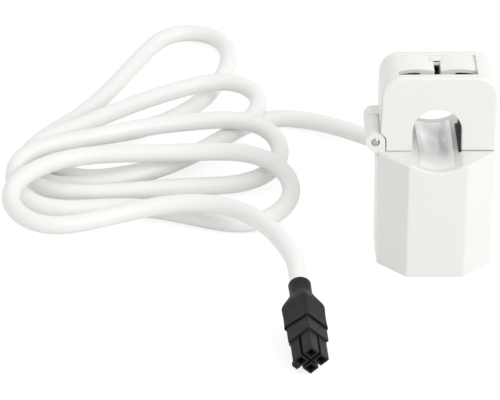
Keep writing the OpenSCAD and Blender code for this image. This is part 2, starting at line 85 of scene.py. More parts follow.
RGB = "NodeSocketColor"
NUMBER = "NodeSocketFloat"
VECTOR = "NodeSocketVector"
SURFACE_IN: Sockets = (("Base", RGB), ("Shade", RGB), ("Amount", NUMBER), ("Roughness", NUMBER),
                       ("Spread", NUMBER))
SURFACE_OUT: Sockets = (("Color", RGB), ("Roughness", NUMBER), ("Height", NUMBER))

# A mix node has sockets of one name for each kind of value; these are its colours
MIX_FIRST = 6
MIX_SECOND = 7
MIX_RESULT = 2

# Detail of the noises, the part of the drawn lines' noise that shows, and how thin a band's line is
GRAIN_DETAIL = 3.0
CLOUD_DETAIL = 2.0
LINE_DETAIL = 4.0
LINE_RANGE = (0.3, 0.7)
BAND_POWER = 3.0


def wire(tree: NodeTree, node: Node, inputs: Inputs) -> None:
    """Gives a node what goes into it.

    Args:
        tree: Tree that the node is in.
        node: The node.
        inputs: Other nodes' sockets or plain values, by the name or the number of the node's socket.
    """
    for label, value in inputs.items():
        if isinstance(value, NodeSocket):
            tree.links.new(value, node.inputs[label])
        else:
            node.inputs[label].default_value = value


def add_node(tree: NodeTree, kind: str, inputs: Inputs, operation: str = "",
             group: Optional[NodeTree] = None) -> Node:
    """Adds a shader node.

    Args:
        tree: Tree that gets the node.
        kind: Blender's name for it, without ShaderNode at its start.
        inputs: What goes into it.
        operation: Name of the sum, for a node that has one.
        group: The shared effect, for a group's node.

    Returns:
        The node.
    """
    node = tree.nodes.new("ShaderNode" + kind)
    if operation:
        node.operation = operation
    if group:
        node.node_tree = group
    wire(tree, node, inputs)
    return node


def mix_colours(tree: NodeTree, share: Value, first: Value, second: Value) -> NodeSocket:
    """Mixes two colours.

    Args:
        tree: Tree that gets the node.
        share: Share of the second colour.
        first: First colour.
        second: Second colour.

    Returns:
        The mixed colour's socket.
    """
    mix = add_node(tree, "Mix", {})
    mix.data_type = "RGBA"
    wire(tree, mix, {"Factor": share, MIX_FIRST: first, MIX_SECOND: second})
    return mix.outputs[MIX_RESULT]


class Draft:
    """A shared effect in the making.

    Attributes:
        tree: The group's own tree.
        given: Sockets of the values that go in.
        result: Node with the values that come out.
        place: Socket with the surface point's place on its object.
    """

    def __init__(self, name: str, inputs: Sockets, outputs: Sockets) -> None:
        """Starts a group with its sockets.

        Args:
            name: Name of the group.
            inputs: Names and kinds of the sockets that go in.
            outputs: Names and kinds of the sockets that come out.
        """
        self.tree = bpy.data.node_groups.new(name, "ShaderNodeTree")
        for side, sockets in (("INPUT", inputs), ("OUTPUT", outputs)):
            for label, kind in sockets:
                self.tree.interface.new_socket(name=label, in_out=side, socket_type=kind)
        self.given = self.tree.nodes.new("NodeGroupInput").outputs
        self.result = self.tree.nodes.new("NodeGroupOutput")
        self.place = self.add("TexCoord", {}).outputs["Object"]

    def add(self, kind: str, inputs: Inputs, operation: str = "") -> Node:
        """Adds a node to the group."""
        return add_node(self.tree, kind, inputs, operation)

    def math(self, operation: str, first: Value, second: Value) -> NodeSocket:
        """Adds a sum of two values."""
        return self.add("Math", {0: first, 1: second}, operation).outputs[0]

    def noise(self, place: Value, scale: Value, detail: float) -> NodeSocket:
        """Adds a noise from 0 to 1."""
        return self.add("TexNoise", {"Vector": place, "Scale": scale, "Detail": detail}).outputs[0]

    def put_out(self, outputs: Inputs) -> NodeTree:
        """Hands values out of the group, which is then finished."""
        wire(self.tree, self.result, outputs)
        return self.tree

    def surface(self, share: Value, uneven: Value, height: Value, **more: Value) -> NodeTree:
        """Puts out the colour, the roughness and the height of a finish.

        Args:
            share: Share of the second colour.
            uneven: Value from 0 to 1 that moves the roughness.
            height: Height of the relief.
            more: Other values that come out.

        Returns:
            The finished group.
        """
        colour = mix_colours(self.tree, share, self.given["Base"], self.given["Shade"])
        change = self.math("MULTIPLY", self.math("SUBTRACT", uneven, 0.5), self.given["Spread"])
        rough = self.math("ADD", change, self.given["Roughness"])
        return self.put_out({"Color": colour, "Roughness": rough, "Height": height, **more})


class NodeGroups:
    """Builds each shared effect once and hands it to the finishes."""

    def __init__(self) -> None:
        """Builds the four groups."""
        self.grain = self._grain()
        self.drawn = self._drawn()
        self.bands = self._bands()
        self.patch = self._shade_patch()

    @staticmethod
    def _grain() -> NodeTree:
        """Builds the moulded surface: a fine grain on slow cloudy changes of shade.

        Returns:
            The group.
        """
        draft = Draft("moulded_grain", (*SURFACE_IN, ("Grain", NUMBER), ("Cloud", NUMBER)), SURFACE_OUT)
        fine = draft.noise(draft.place, draft.given["Grain"], GRAIN_DETAIL)
        slow = draft.noise(draft.place, draft.given["Cloud"], CLOUD_DETAIL)
        return draft.surface(draft.math("MULTIPLY", slow, draft.given["Amount"]), slow, fine)

    @staticmethod
    def _drawn() -> NodeTree:
        """Builds rolled or drawn metal: a noise stretched along one direction, whose second colour and
        metal die away towards -Y. On the saddle plate this paints shade under the jaw and a lit front.

        Returns:
            The group.
        """
        draft = Draft("drawn_lines", (*SURFACE_IN, ("Stretch", VECTOR), ("Clear", NUMBER), ("Full", NUMBER),
                                      ("Metal", NUMBER)), (*SURFACE_OUT, ("Metal", NUMBER)))
        given, (low, high) = draft.given, LINE_RANGE
        pulled = draft.add("VectorMath", {0: draft.place, 1: given["Stretch"]}, "MULTIPLY").outputs[0]
        lines = draft.noise(pulled, 1.0, LINE_DETAIL)
        strong = draft.add("MapRange", {"Value": lines, "From Min": low, "From Max": high})
        depth = draft.add("SeparateXYZ", {0: draft.place}).outputs["Y"]
        rise = draft.add("MapRange", {"Value": depth, "From Min": given["Clear"],
                                      "From Max": given["Full"]})
        rise.interpolation_type = "SMOOTHSTEP"
        # Painted shade under the jaw, dying away to a painted lit front towards -Y
        painted_shade_fade = rise.outputs["Result"]
        share = draft.math("MULTIPLY", strong.outputs["Result"], given["Amount"])
        share = draft.math("MULTIPLY", share, painted_shade_fade)
        return draft.surface(share, lines, lines, Metal=draft.math("MULTIPLY", painted_shade_fade, given["Metal"]))

    @staticmethod
    def _bands() -> NodeTree:
        """Builds stacked layers: even bands across one direction, for sheets and windings.

        Returns:
            The group.
        """
        draft = Draft("stacked_bands", (*SURFACE_IN, ("Across", VECTOR), ("Count", NUMBER)), SURFACE_OUT)
        along = draft.add("VectorMath", {0: draft.place, 1: draft.given["Across"]}, "DOT_PRODUCT")
        run = draft.math("MULTIPLY", along.outputs["Value"], draft.given["Count"])
        height = draft.math("MULTIPLY", draft.math("PINGPONG", run, 0.5), 2.0)
        line = draft.math("POWER", height, BAND_POWER)
        return draft.surface(draft.math("MULTIPLY", line, draft.given["Amount"]), height, height)

    @staticmethod
    def _shade_patch() -> NodeTree:
        """Builds the mask of the painted shade: 1 inside a box given by its middle and half its size.

        Returns:
            The group.
        """
        draft = Draft("shade_patch_mask", (("Middle", VECTOR), ("Reach", VECTOR)), (("Mask", NUMBER),))
        away = draft.add("VectorMath", {0: draft.place, 1: draft.given["Middle"]}, "SUBTRACT")
        away = draft.add("VectorMath", {0: away.outputs[0]}, "ABSOLUTE")
        away = draft.add("VectorMath", {0: away.outputs[0], 1: draft.given["Reach"]}, "DIVIDE")
        sides = draft.add("SeparateXYZ", {0: away.outputs[0]}).outputs
        widest = draft.math("MAXIMUM", draft.math("MAXIMUM", sides["X"], sides["Y"]), sides["Z"])
        return draft.put_out({"Mask": draft.math("LESS_THAN", widest, 1.0)})


# Finishes


@dataclass(frozen=True)
class Finish:
    """A finish whose surface comes from one shared group.

    Attributes:
        name: Name of the material.
        base: Main colour, linear.
        shade: Second colour that the surface drifts to.
        amount: Share of the second colour at most.
        roughness: Middle roughness.
        spread: Whole range of the roughness.
        relief: Depth of the surface relief in millimetres.
        bump: Strength of the relief.
        metallic: Share of metal.
        coat: Weight of a clear top layer.
        gloss: Level of the mirror reflection, 0.5 for common plastics.
    """

    name: str
    base: Colour
    shade: Colour
    amount: float = 0.5
    roughness: float = 0.4
    spread: float = 0.1
    relief: float = 0.04
    bump: float = 0.2
    metallic: float = 0.0
    coat: float = 0.0
    gloss: float = 0.5

    def values(self) -> Inputs:
        """Gives the values that go into the group's own sockets."""
        return {}

    def tree(self, groups: NodeGroups) -> NodeTree:
        """Picks the shared group of this finish."""
        return groups.grain

    def make(self, groups: NodeGroups) -> Material:
        """Builds the material.

        Args:
            groups: The shared effects.

        Returns:
            The material, ready to be put on a piece.
        """
        material = bpy.data.materials.new(self.name)
        material.use_nodes = True
        tree = material.node_tree
        effect = add_node(tree, "Group", {
            "Base": (*self.base, 1.0), "Shade": (*self.shade, 1.0), "Amount": self.amount,
            "Roughness": self.roughness, "Spread": self.spread, **self.values()}, group=self.tree(groups))
        relief = add_node(tree, "Bump", {"Strength": self.bump, "Distance": self.relief * MM,
                                         "Height": effect.outputs["Height"]})
        shader = tree.nodes["Principled BSDF"]
        wire(tree, shader, {
            "Metallic": self.metallic, "Coat Weight": self.coat, "Specular IOR Level": self.gloss,
            "Base Color": effect.outputs["Color"], "Roughness": effect.outputs["Roughness"],
            "Normal": relief.outputs["Normal"]})
        if "Metal" in effect.outputs:
            wire(tree, shader, {"Metallic": effect.outputs["Metal"]})
        material.diffuse_color = (*self.base, 1.0)
        return material


@dataclass(frozen=True)
class Moulded(Finish):
    """Moulded plastic, rubber or lacquer with a fine grain.

    Attributes:
        grain: Grains for each metre.
        cloud: Slow changes for each metre.
    """

    grain: float = 3500.0
    cloud: float = 60.0

    def values(self) -> Inputs:
        """Gives the grain's two scales."""
        return {"Grain": self.grain, "Cloud": self.cloud}


@dataclass(frozen=True)
class ShadePatched(Moulded):
    """Moulded plastic with one darker patch inside a box, of painted shade and painted dark reflection.

    Attributes:
        patch: Colour of the painted shade, linear.
        middle: Middle of the box in metres.
        reach: Half its size in metres.
    """

    patch: Colour = (0.01, 0.01, 0.01)
    middle: Point = (0.0, 0.0, 0.0)
    reach: Point = (0.001, 0.001, 0.001)

    def make(self, groups: NodeGroups) -> Material:
        """Builds the plain material and lays the painted shade over it, as dark metal.

        Args:
            groups: The shared effects.

        Returns:
            The material, ready to be put on a piece.
        """
        material = super().make(groups)
        tree = material.node_tree
        shader = tree.nodes["Principled BSDF"]
        box = {"Middle": self.middle, "Reach": self.reach}
        mask = add_node(tree, "Group", box, group=groups.patch).outputs["Mask"]
        plain = shader.inputs["Base Color"].links[0].from_socket
        colour = mix_colours(tree, mask, plain, (*self.patch, 1.0))
        # Painted shade and painted dark reflection: near-black metal inside the box
        wire(tree, shader, {"Base Color": colour, "Metallic": mask})
        return material


@dataclass(frozen=True)
class Drawn(Finish):
    """Rolled or drawn metal.

    Attributes:
        stretch: Changes for each metre along X, Y and Z.
        clear: Place along Y, in metres, in front of which the shade and the metal are gone: a painted lit
            front.
        full: Place along Y, in metres, behind which they are full: painted shade under the jaw.
    """

    stretch: Point = (2500.0, 80.0, 2500.0)
    clear: float = -2.0
    full: float = -1.0

    def values(self) -> Inputs:
        """Gives the direction of the lines and where their shade fades."""
        return {"Stretch": self.stretch, "Clear": self.clear, "Full": self.full, "Metal": self.metallic}

    def tree(self, groups: NodeGroups) -> NodeTree:
        """Picks the drawn lines."""
        return groups.drawn


@dataclass(frozen=True)
class Banded(Finish):
    """Stacked sheets, a wound wire or colour rings.

    Attributes:
        across: Direction that the bands follow each other in.
        count: Bands for each metre.
    """

    across: Axis = Axis.Y
    count: float = 2800.0

    def values(self) -> Inputs:
        """Gives the bands' direction and count."""
        return {"Across": self.across.value, "Count": self.count}

    def tree(self, groups: NodeGroups) -> NodeTree:
        """Picks the bands."""
        return groups.bands


WHITE_SHELL = Moulded("white_shell", (0.86, 0.862, 0.835), (0.83, 0.832, 0.805), 0.5, 0.34, 0.06,
                      relief=0.02, bump=0.12)
# Housing white, with a box of painted shade and painted dark reflection on the saddle's right flank
SADDLE_WHITE_PAINTED_SHADE = ShadePatched("white_saddle_painted_shade", WHITE_SHELL.base, WHITE_SHELL.shade, 0.5, 0.34, 0.06,
                       relief=0.02, bump=0.12, patch=(0.006, 0.0055, 0.0055),
                       middle=(0.0072, 0.0011, 0.0375), reach=(0.0005, 0.0095, 0.0016))
WHITE_INSERT = Moulded("white_insert", (0.88, 0.882, 0.865), (0.85, 0.85, 0.835), 0.5, 0.3, 0.06,
                       relief=0.02, bump=0.1)
CABLE_JACKET = Moulded("cable_jacket", (0.907, 0.902, 0.888), (0.872, 0.867, 0.853), 0.6, 0.4, 0.1,
                       relief=0.03, bump=0.15, grain=2200.0, cloud=90.0)
SOFT_GROMMET = Moulded("soft_grommet", (0.84, 0.84, 0.82), (0.8, 0.8, 0.78), 0.6, 0.5, 0.08, bump=0.15)
# Saddle plate: its dark drawn streaks are partly grain and mostly painted reflection and painted shade
# under the jaw; towards -Y they and the metal die away into a painted lit front
BRIGHT_PLATE_PAINTED_SHADE = Drawn("bright_plate_painted_shade", (0.97, 0.97, 0.96), (0.42, 0.415, 0.405), 0.9, 0.3, 0.1,
                     relief=0.01, bump=0.03, metallic=0.85, stretch=(190.0, 55.0, 240.0),
                     clear=-0.014, full=-0.004)
# Arch liner of the window: its near-black colour is painted shade and painted dark reflection
PAINTED_SHADE_LINER = Moulded("painted_shade_liner", (0.006, 0.0055, 0.0055), (0.01, 0.0095, 0.0095), 0.6, 0.55, 0.1,
                     bump=0.15, gloss=0.1)
PIN_STEEL = Drawn("pin_steel", (0.5, 0.49, 0.46), (0.38, 0.37, 0.35), 0.5, 0.3, 0.1,
                  relief=0.01, bump=0.1, metallic=1.0)
CORE_SHEETS = Banded("core_sheets", (0.16, 0.16, 0.17), (0.05, 0.05, 0.055), 0.7, 0.42, 0.12,
                     relief=0.03, bump=0.4, metallic=0.9)
COIL_WIRE = Banded("coil_wire", (0.55, 0.21, 0.07), (0.24, 0.07, 0.02), 0.6, 0.32, 0.1,
                   relief=0.08, bump=0.6, metallic=0.7, coat=0.3, across=Axis.X, count=5000.0)
COIL_TAPE = Moulded("coil_tape", (0.62, 0.42, 0.06), (0.5, 0.32, 0.04), 0.6, 0.28, 0.1, grain=1500.0)
BOBBIN_NYLON = Moulded("bobbin_nylon", (0.7, 0.62, 0.42), (0.62, 0.55, 0.36), 0.5, 0.45, 0.08)
BOARD_MASK = Drawn("board_mask", (0.01, 0.12, 0.05), (0.02, 0.17, 0.07), 0.6, 0.35, 0.1,
                   relief=0.02, stretch=(900.0, 900.0, 2000.0))
RESISTOR_PAINT = Banded("resistor_paint", (0.55, 0.44, 0.26), (0.2, 0.05, 0.02), 0.9, 0.4, 0.05,
                        bump=0.05, count=700.0)
DIODE_BODY = Banded("diode_body", (0.02, 0.02, 0.022), (0.42, 0.42, 0.43), 0.8, 0.35, 0.05,
                    bump=0.05, count=240.0)
SOLDER_TIN = Drawn("solder_tin", (0.62, 0.62, 0.6), (0.5, 0.5, 0.49), 0.5, 0.3, 0.1,
                   bump=0.1, metallic=1.0, stretch=(900.0, 900.0, 900.0))
WIRE_COAT = Moulded("wire_coat", (0.78, 0.77, 0.74), (0.7, 0.69, 0.66), 0.5, 0.42, 0.08)
SHRINK_TUBE = Moulded("shrink_tube", (0.021, 0.0215, 0.0245), (0.014, 0.0145, 0.0165), 0.7, 0.5, 0.12,
                      relief=0.25, bump=0.6, gloss=0.13, grain=700.0, cloud=200.0)
PLUG_NYLON = Moulded("plug_nylon", (0.02, 0.0205, 0.0225), (0.014, 0.0145, 0.016), 0.7, 0.36, 0.1,
                     relief=0.03, gloss=0.14, grain=4200.0, cloud=300.0)
CONTACT_GOLD = Drawn("contact_plate", (0.6, 0.5, 0.3), (0.5, 0.42, 0.26), 0.5, 0.28, 0.08,
                     bump=0.1, metallic=1.0, stretch=(3000.0, 120.0, 3000.0))


class Finishes:
    """Makes each material once, on first use."""

    def __init__(self) -> None:
        """Builds the shared groups and an empty store."""
        self.groups = NodeGroups()
        self.made: Dict[str, Material] = {}

    def put(self, piece: Object, finish: Finish) -> None:
        """Dresses a piece in one finish.

        Args:
            piece: Mesh or curve object.
            finish: The finish that covers it.
        """
        if finish.name not in self.made:
            self.made[finish.name] = finish.make(self.groups)
        piece.data.materials.clear()
        piece.data.materials.append(self.made[finish.name])
        LOG.info("%s dressed as %s", piece.name, finish.name)


# Building helpers


def link_shape(name: str, shape: BMesh) -> Object:
    """Turns an edited shape into a piece of the scene.

    Args:
        name: Name of the piece.
        shape: The shape, which is used up.

    Returns:
        The linked object.
    """
    mesh = bpy.data.meshes.new(name)
    shape.to_mesh(mesh)
    shape.free()
    piece = bpy.data.objects.new(name, mesh)
    bpy.context.scene.collection.objects.link(piece)
    return piece


def skin(shape: BMesh, rings: Sequence[Sequence[BMVert]]) -> None:
    """Covers rings of points, one after the other, with four-sided faces.

    Args:
        shape: Shape that holds the points.
        rings: Rings of equally many points.
    """
    for low, high in zip(rings, rings[1:]):
        for k, corner in enumerate(low):
            after = (k + 1) % len(low)
            shape.faces.new((corner, low[after], high[after], high[k]))


def even(radius: float) -> EdgeRule:
    """Makes a rule that rounds every sharp edge alike.

    Args:
        radius: Radius in millimetres.

    Returns:
        The rule.
    """
    return lambda ends, angle: radius if angle > SHARP_ANGLE else 0.0


def weigh_edges(shape: BMesh, rule: EdgeRule, most: float) -> None:
    """Marks how far each edge of a shape is to be rounded.

    Args:
        shape: The shape.
        rule: Gives each edge's radius in millimetres from its two ends and its angle in degrees.
        most: Largest radius in millimetres.
    """
    weight = shape.edges.layers.float.new("bevel_weight_edge")
    for edge in shape.edges:
        edge.smooth = True
        if len(edge.link_faces) != 2:
            continue
        angle = math.degrees(edge.calc_face_angle(0.0))
        if angle < EDGE_ANGLE:
            continue
        radius = rule([corner.co / MM for corner in edge.verts], angle)
        edge[weight] = min(1.0, radius / most)
        edge.smooth = radius > 0.0


# Sub-assemblies


@dataclass
class StudioStage:
    """Camera at the photograph's angle, pale floor and soft light. Lengths are in millimetres.

    Attributes:
        eye: Camera's place.
        right: Camera's right direction.
        up: Camera's up direction.
        lens: Focal length, on Blender's own sensor of 36 mm.
        nearest: Distance from which the camera sees.
        sky: Strength of the even light from all round.
        sky_tone: Colour of that light.
        key_place: Place of the soft main lamp.
        key_aim: Point that it shines at.
        key_size: Width of the lamp.
        key_power: Power of the lamp.
        floor_half: Half the floor's width.
        floor_parts: Parts along each of its sides.
        floor_drop: How far it lies under the object.
        floor_tone: Colour of the floor as it lights the object.
        veil_tone: Colour of the floor that shows the shadow.
        floor_glow: Brightness that the shown floor has by itself.
    """

    eye: Point = (-68.68, -856.66, 492.59)
    right: Point = (0.99992, -0.01264, 0.00218)
    up: Point = (0.00422, 0.4848, 0.87462)
    lens: float = 227.13
    nearest: float = 10.0
    sky: float = 0.83
    sky_tone: Colour = (1.0, 0.998, 0.99)
    key_place: Point = (720.0, -640.0, 760.0)
    key_aim: Point = (0.0, 0.0, 30.0)
    key_size: float = 620.0
    key_power: float = 5.2
    floor_half: float = 4000.0
    floor_parts: int = 8
    floor_drop: float = 0.1
    floor_tone: Colour = (0.8, 0.8, 0.79)
    veil_tone: Colour = (0.3, 0.3, 0.3)
    floor_glow: float = 0.8

    def camera(self) -> None:
        """Sets up the camera that the photograph was taken with."""
        data = bpy.data.cameras.new("photo_camera")
        data.sensor_fit = "HORIZONTAL"
        data.lens = self.lens
        data.clip_start = self.nearest * MM
        data.dof.use_dof = False
        camera = bpy.data.objects.new("photo_camera", data)
        right = Vector(self.right).normalized()
        up = Vector(self.up)
        up = (up - right * up.dot(right)).normalized()
        back = right.cross(up)
        turn = Matrix((right, up, back)).transposed().to_4x4()
        camera.matrix_world = Matrix.Translation(Vector(self.eye) * MM) @ turn
        bpy.context.scene.collection.objects.link(camera)
        bpy.context.scene.camera = camera

    def light(self) -> None:
        """Lights the scene with an even white sky and one broad lamp from the right."""
        world = bpy.data.worlds.new("studio_sky")
        bpy.context.scene.world = world
        world.use_nodes = True
        tree = world.node_tree
        tree.nodes.clear()
        lit = add_node(tree, "Background", {"Color": (*self.sky_tone, 1.0), "Strength": self.sky})
        seen = add_node(tree, "Background", {"Color": (1.0, 1.0, 1.0, 1.0), "Strength": 1.0})
        add_node(tree, "OutputWorld", {"Surface": self.shown(tree, lit, seen)})
        lamp = bpy.data.lights.new("broad_lamp", "AREA")
        lamp.shape = "DISK"
        lamp.size = self.key_size * MM
        lamp.energy = self.key_power
        holder = bpy.data.objects.new("broad_lamp", lamp)
        holder.location = Vector(self.key_place) * MM
        aim = Vector(self.key_aim) * MM - holder.location
        holder.rotation_euler = aim.to_track_quat("-Z", "Y").to_euler()
        bpy.context.scene.collection.objects.link(holder)

    @staticmethod
    def shown(tree: NodeTree, lit: Node, seen: Node) -> NodeSocket:
        """Shows one shader to the camera, mirrors and glass, and lights with another.

        Args:
            tree: Tree of the world or of the floor's material.
            lit: Shader that lights the object.
            seen: Shader that is looked at.

        Returns:
            The mixed shader's socket.
        """
        rays = add_node(tree, "LightPath", {}).outputs
        sight = add_node(tree, "Math", {0: rays["Is Camera Ray"], 1: rays["Is Glossy Ray"]}, "MAXIMUM")
        sight = add_node(tree, "Math", {0: sight.outputs[0], 1: rays["Is Transmission Ray"]}, "MAXIMUM")
        mix = add_node(tree, "MixShader", {0: sight.outputs[0], 1: lit.outputs[0], 2: seen.outputs[0]})
        return mix.outputs[0]

    def floor(self) -> None:
        """Lays the pale floor, white to the eye except in the object's shadow."""
        shape = bmesh.new()
        bmesh.ops.create_grid(shape, x_segments=self.floor_parts, y_segments=self.floor_parts,
                              size=self.floor_half * MM)
        floor = link_shape("studio_floor", shape)
        floor.location.z = -self.floor_drop * MM
        material = bpy.data.materials.new("studio_floor")
        material.use_nodes = True
        tree = material.node_tree
        tree.nodes.clear()
        plain = add_node(tree, "BsdfDiffuse", {"Color": (*self.floor_tone, 1.0)})
        veil = add_node(tree, "BsdfDiffuse", {"Color": (*self.veil_tone, 1.0)})
        glow = add_node(tree, "Emission", {"Strength": self.floor_glow})
        both = add_node(tree, "AddShader", {0: veil.outputs[0], 1: glow.outputs[0]})
        add_node(tree, "OutputMaterial", {"Surface": self.shown(tree, plain, both)})
        floor.data.materials.append(material)


@dataclass
class Assembly:
    """A sub-assembly that takes its looks from one store.

    Attributes:
        finishes: Store of materials.
    """

    finishes: Finishes

    def settle(self, piece: Object, finish: Finish, body: Body, node: str) -> Object:
        """Dresses a piece and lets it ride on a body and stand for a CAD node.

        Args:
            piece: The finished piece.
            finish: The finish that covers it.
            body: Body that carries it.
            node: CAD node that it replaces.

        Returns:
            The piece.
        """
        self.finishes.put(piece, finish)
        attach(piece, body.value)
        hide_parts(node)
        LOG.info("%s rides on %s for %s", piece.name, body.value, node)
        return piece

    def rounded(self, body: Body, node: str, name: str, finish: Finish, rule: EdgeRule, most: float,
                segments: int = 3) -> Object:
        """Makes a piece in a CAD node's place: the node's shape with some of its edges rounded.

        Args:
            body: Body that carries the piece.
            node: CAD node that it replaces.
            name: Name of the piece.
            finish: The finish that covers it.
            rule: Gives each edge's radius.
            most: Largest radius in millimetres.
            segments: Steps across a rounded edge.

        Returns:
            The piece.
        """
        shape = bmesh.new()
        shape.from_mesh(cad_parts[node].data)
        bmesh.ops.remove_doubles(shape, verts=shape.verts, dist=WELD)
        bmesh.ops.dissolve_limit(shape, angle_limit=math.radians(FLAT_ANGLE), verts=shape.verts,
                                 edges=shape.edges)
        weigh_edges(shape, rule, most)
        for face in shape.faces:
            face.smooth = True
        piece = link_shape(name, shape)
        bevel = piece.modifiers.new("rounded_edges", "BEVEL")
        bevel.limit_method = "WEIGHT"
        bevel.width = most * MM
        bevel.segments = segments
        bevel.use_clamp_overlap = False
        bevel.miter_outer = "MITER_ARC"
        normals = piece.modifiers.new("even_normals", "WEIGHTED_NORMAL")
        normals.keep_sharp = True
        return self.settle(piece, finish, body, node)

    def dress(self, node: str, finish: Finish) -> Object:
        """Dresses a CAD node that stays as it is, and gives it back."""
        self.finishes.put(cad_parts[node], finish)
        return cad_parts[node]


@dataclass
class PlugFrame:
    """Place and turn of the connector, as the part's source gives them.

    Attributes:
        place: Start of the sleeve's neck in millimetres.
        yaw: Turn about the vertical in degrees.
        pitch: Nose-down tilt in degrees.
        roll: Turn about the connector's own line in degrees.
    """

    place: Point = (-42.5, -42.0, 11.8)
    yaw: float = 4.5
    pitch: float = 11.0
    roll: float = 45.0

    def matrix(self) -> Matrix:
        """Gives the connector's own frame, its nose towards its -Y.

        Returns:
            Its place in metres and its turn.
        """
        turn = (Matrix.Rotation(math.radians(self.yaw), 4, "Z")
                @ Matrix.Rotation(math.radians(self.pitch), 4, "X")
                @ Matrix.Rotation(math.radians(self.roll), 4, "Y"))
        return Matrix.Translation(Vector(self.place) * MM) @ turn

    def ahead(self) -> Vector:
        """Gives the direction that the connector's nose points in."""
        return self.matrix().to_3x3() @ Vector((0.0, -1.0, 0.0))


@dataclass
class CableRun(Assembly):
    """The signal cable from the strain relief to the connector's sleeve. Sizes are in millimetres.

    Attributes:
        plug: Place of the connector, where the cable ends.
        diameter: Outside diameter.
        length: Length on its own line.
        outlet: Point where it leaves the strain relief.
        inner_start: Where its inner end starts inside the housing, along Y.
        sleeve_depth: How far it goes into the sleeve's neck.
        lead_spare: What the straight ends' points are further apart than a diameter.
        order: Order of its spline, as in the part's source.
        fineness: Steps between two control points.
        roundness: Steps of its round section, as the curve counts them.
        sides: Sides of the two hidden ends.
        cut_edge: Steps of a cut end's edge: inwards from the side and along.
        loops: Control points of the loops.
    """

    plug: PlugFrame = field(default_factory=PlugFrame)
    diameter: float = 5.8
    length: float = 1174.5
    outlet: Point = (0.0, 29.738, 9.0)
    inner_start: float = 14.538
    sleeve_depth: float = 5.7
    lead_spare: float = 0.2
    order: int = 4
    fineness: int = 10
    roundness: int = 8
    sides: int = 32
    cut_edge: Tuple[Pair, ...] = ((0.7, 0.0), (0.25, 0.05), (0.0, 0.3))
    loops: List[Point] = field(default_factory=lambda: [
        (-4, 50, 8), (-14, 61, 6), (-24, 72, 4.5), (-36, 81, 3.5), (-48, 84, 3),
        (-58.5, 78, 3), (-68, 64, 3), (-82, 51, 3), (-100, 42, 3), (-111, 41, 3),
        (-119, 46, 3), (-122, 54, 3), (-119, 62.5, 3.5), (-109.5, 69, 3.5), (-96, 73, 3),
        (-83, 81, 3), (-72, 95, 3), (-65, 112, 3), (-61.5, 129, 3), (-65, 143, 3.5),
        (-75, 148, 4), (-86, 144.5, 4), (-93.5, 128, 3.5), (-103.5, 103, 3), (-113, 84, 3),
        (-123.5, 72, 3), (-129, 60, 3), (-129, 48, 3), (-122.5, 37, 3), (-110.5, 34.5, 4),
        (-98, 36.5, 5), (-82, 44, 6), (-69, 56, 7), (-59, 68, 7.5), (-52, 78, 9.5),
        (-53.5, 88, 10.5), (-61, 94, 11.5), (-71, 94, 11), (-82, 88.5, 10.5), (-94, 80, 10.5),
        (-106, 70, 10), (-116, 60, 10.5), (-126, 52, 11), (-130, 42, 9), (-128, 34, 6),
        (-120.5, 28, 5.5), (-107.5, 27.5, 5), (-92, 30.5, 4.5), (-76, 34, 4), (-59.5, 36, 3),
        (-49, 42, 4.5), (-45.5, 50, 7), (-47.5, 57.5, 10), (-54, 62.5, 12), (-63.5, 62, 14),
        (-78, 58, 14.5), (-92, 54, 15), (-105.5, 47, 15.5), (-121.5, 42, 15), (-130, 36, 14.5),
        (-132.5, 29, 11), (-130, 21.5, 8.5), (-123, 16.5, 6), (-111.5, 18, 4.5), (-98, 22, 3.5),
        (-86, 20, 3.5), (-72, 14.5, 3), (-60, 10, 3), (-50, 12, 4), (-43, 21.5, 5.5),
        (-43, 30.5, 8), (-48, 38, 10.5), (-57, 42, 12), (-67.5, 42, 12.5), (-80, 40, 13),
        (-95, 38, 14), (-109.5, 36, 14.5), (-120.5, 30, 15), (-130, 20, 15), (-133, 9, 13.5),
        (-128, 0, 11.5), (-119, -4, 10.5), (-107.5, 0, 10), (-96, 6, 10), (-83, 10, 11),
        (-70.5, 10, 11.5), (-60, 3.5, 12.5), (-53, -6.5, 13.5), (-48, -17.5, 14.5)])

    def route(self) -> List[Vector]:
        """Gives all control points of the run.

        Returns:
            Control points in metres.
        """
        step = self.diameter + self.lead_spare
        start = Vector(self.outlet)
        leave = [start + Vector((0.0, k * step, 0.0)) for k in range(-1, 3)]
        enter = [Vector(self.plug.place) + self.plug.ahead() * (k * step) for k in range(-2, 2)]
        return [p * MM for p in leave + [Vector(p) for p in self.loops] + enter]

    def build(self) -> Object:
        """Lays the cable as one smooth round run.

        Returns:
            The cable.
        """
        data = bpy.data.curves.new("signal_cable", "CURVE")
        data.dimensions = "3D"
        data.resolution_u = self.fineness
        data.bevel_depth = self.diameter / 2 * MM
        data.bevel_resolution = self.roundness
        data.use_fill_caps = True
        points = self.route()
        spline = data.splines.new("NURBS")
        spline.points.add(len(points) - 1)
        for spot, place in zip(spline.points, points):
            spot.co = (*place, 1.0)
        spline.order_u = self.order
        spline.use_endpoint_u = False
        cable = bpy.data.objects.new("signal_cable", data)
        bpy.context.scene.collection.objects.link(cable)
        return self.settle(cable, CABLE_JACKET, Body.HOUSING, "cable")

    def declare(self, cable: Object, carried: Sequence[object]) -> None:
        """Takes the cable and what it carries, and does nothing with them.

        Args:
            cable: The run made by build. It is not used.
            carried: Pieces and CAD nodes that hold it or hang on it. It is not used.
        """

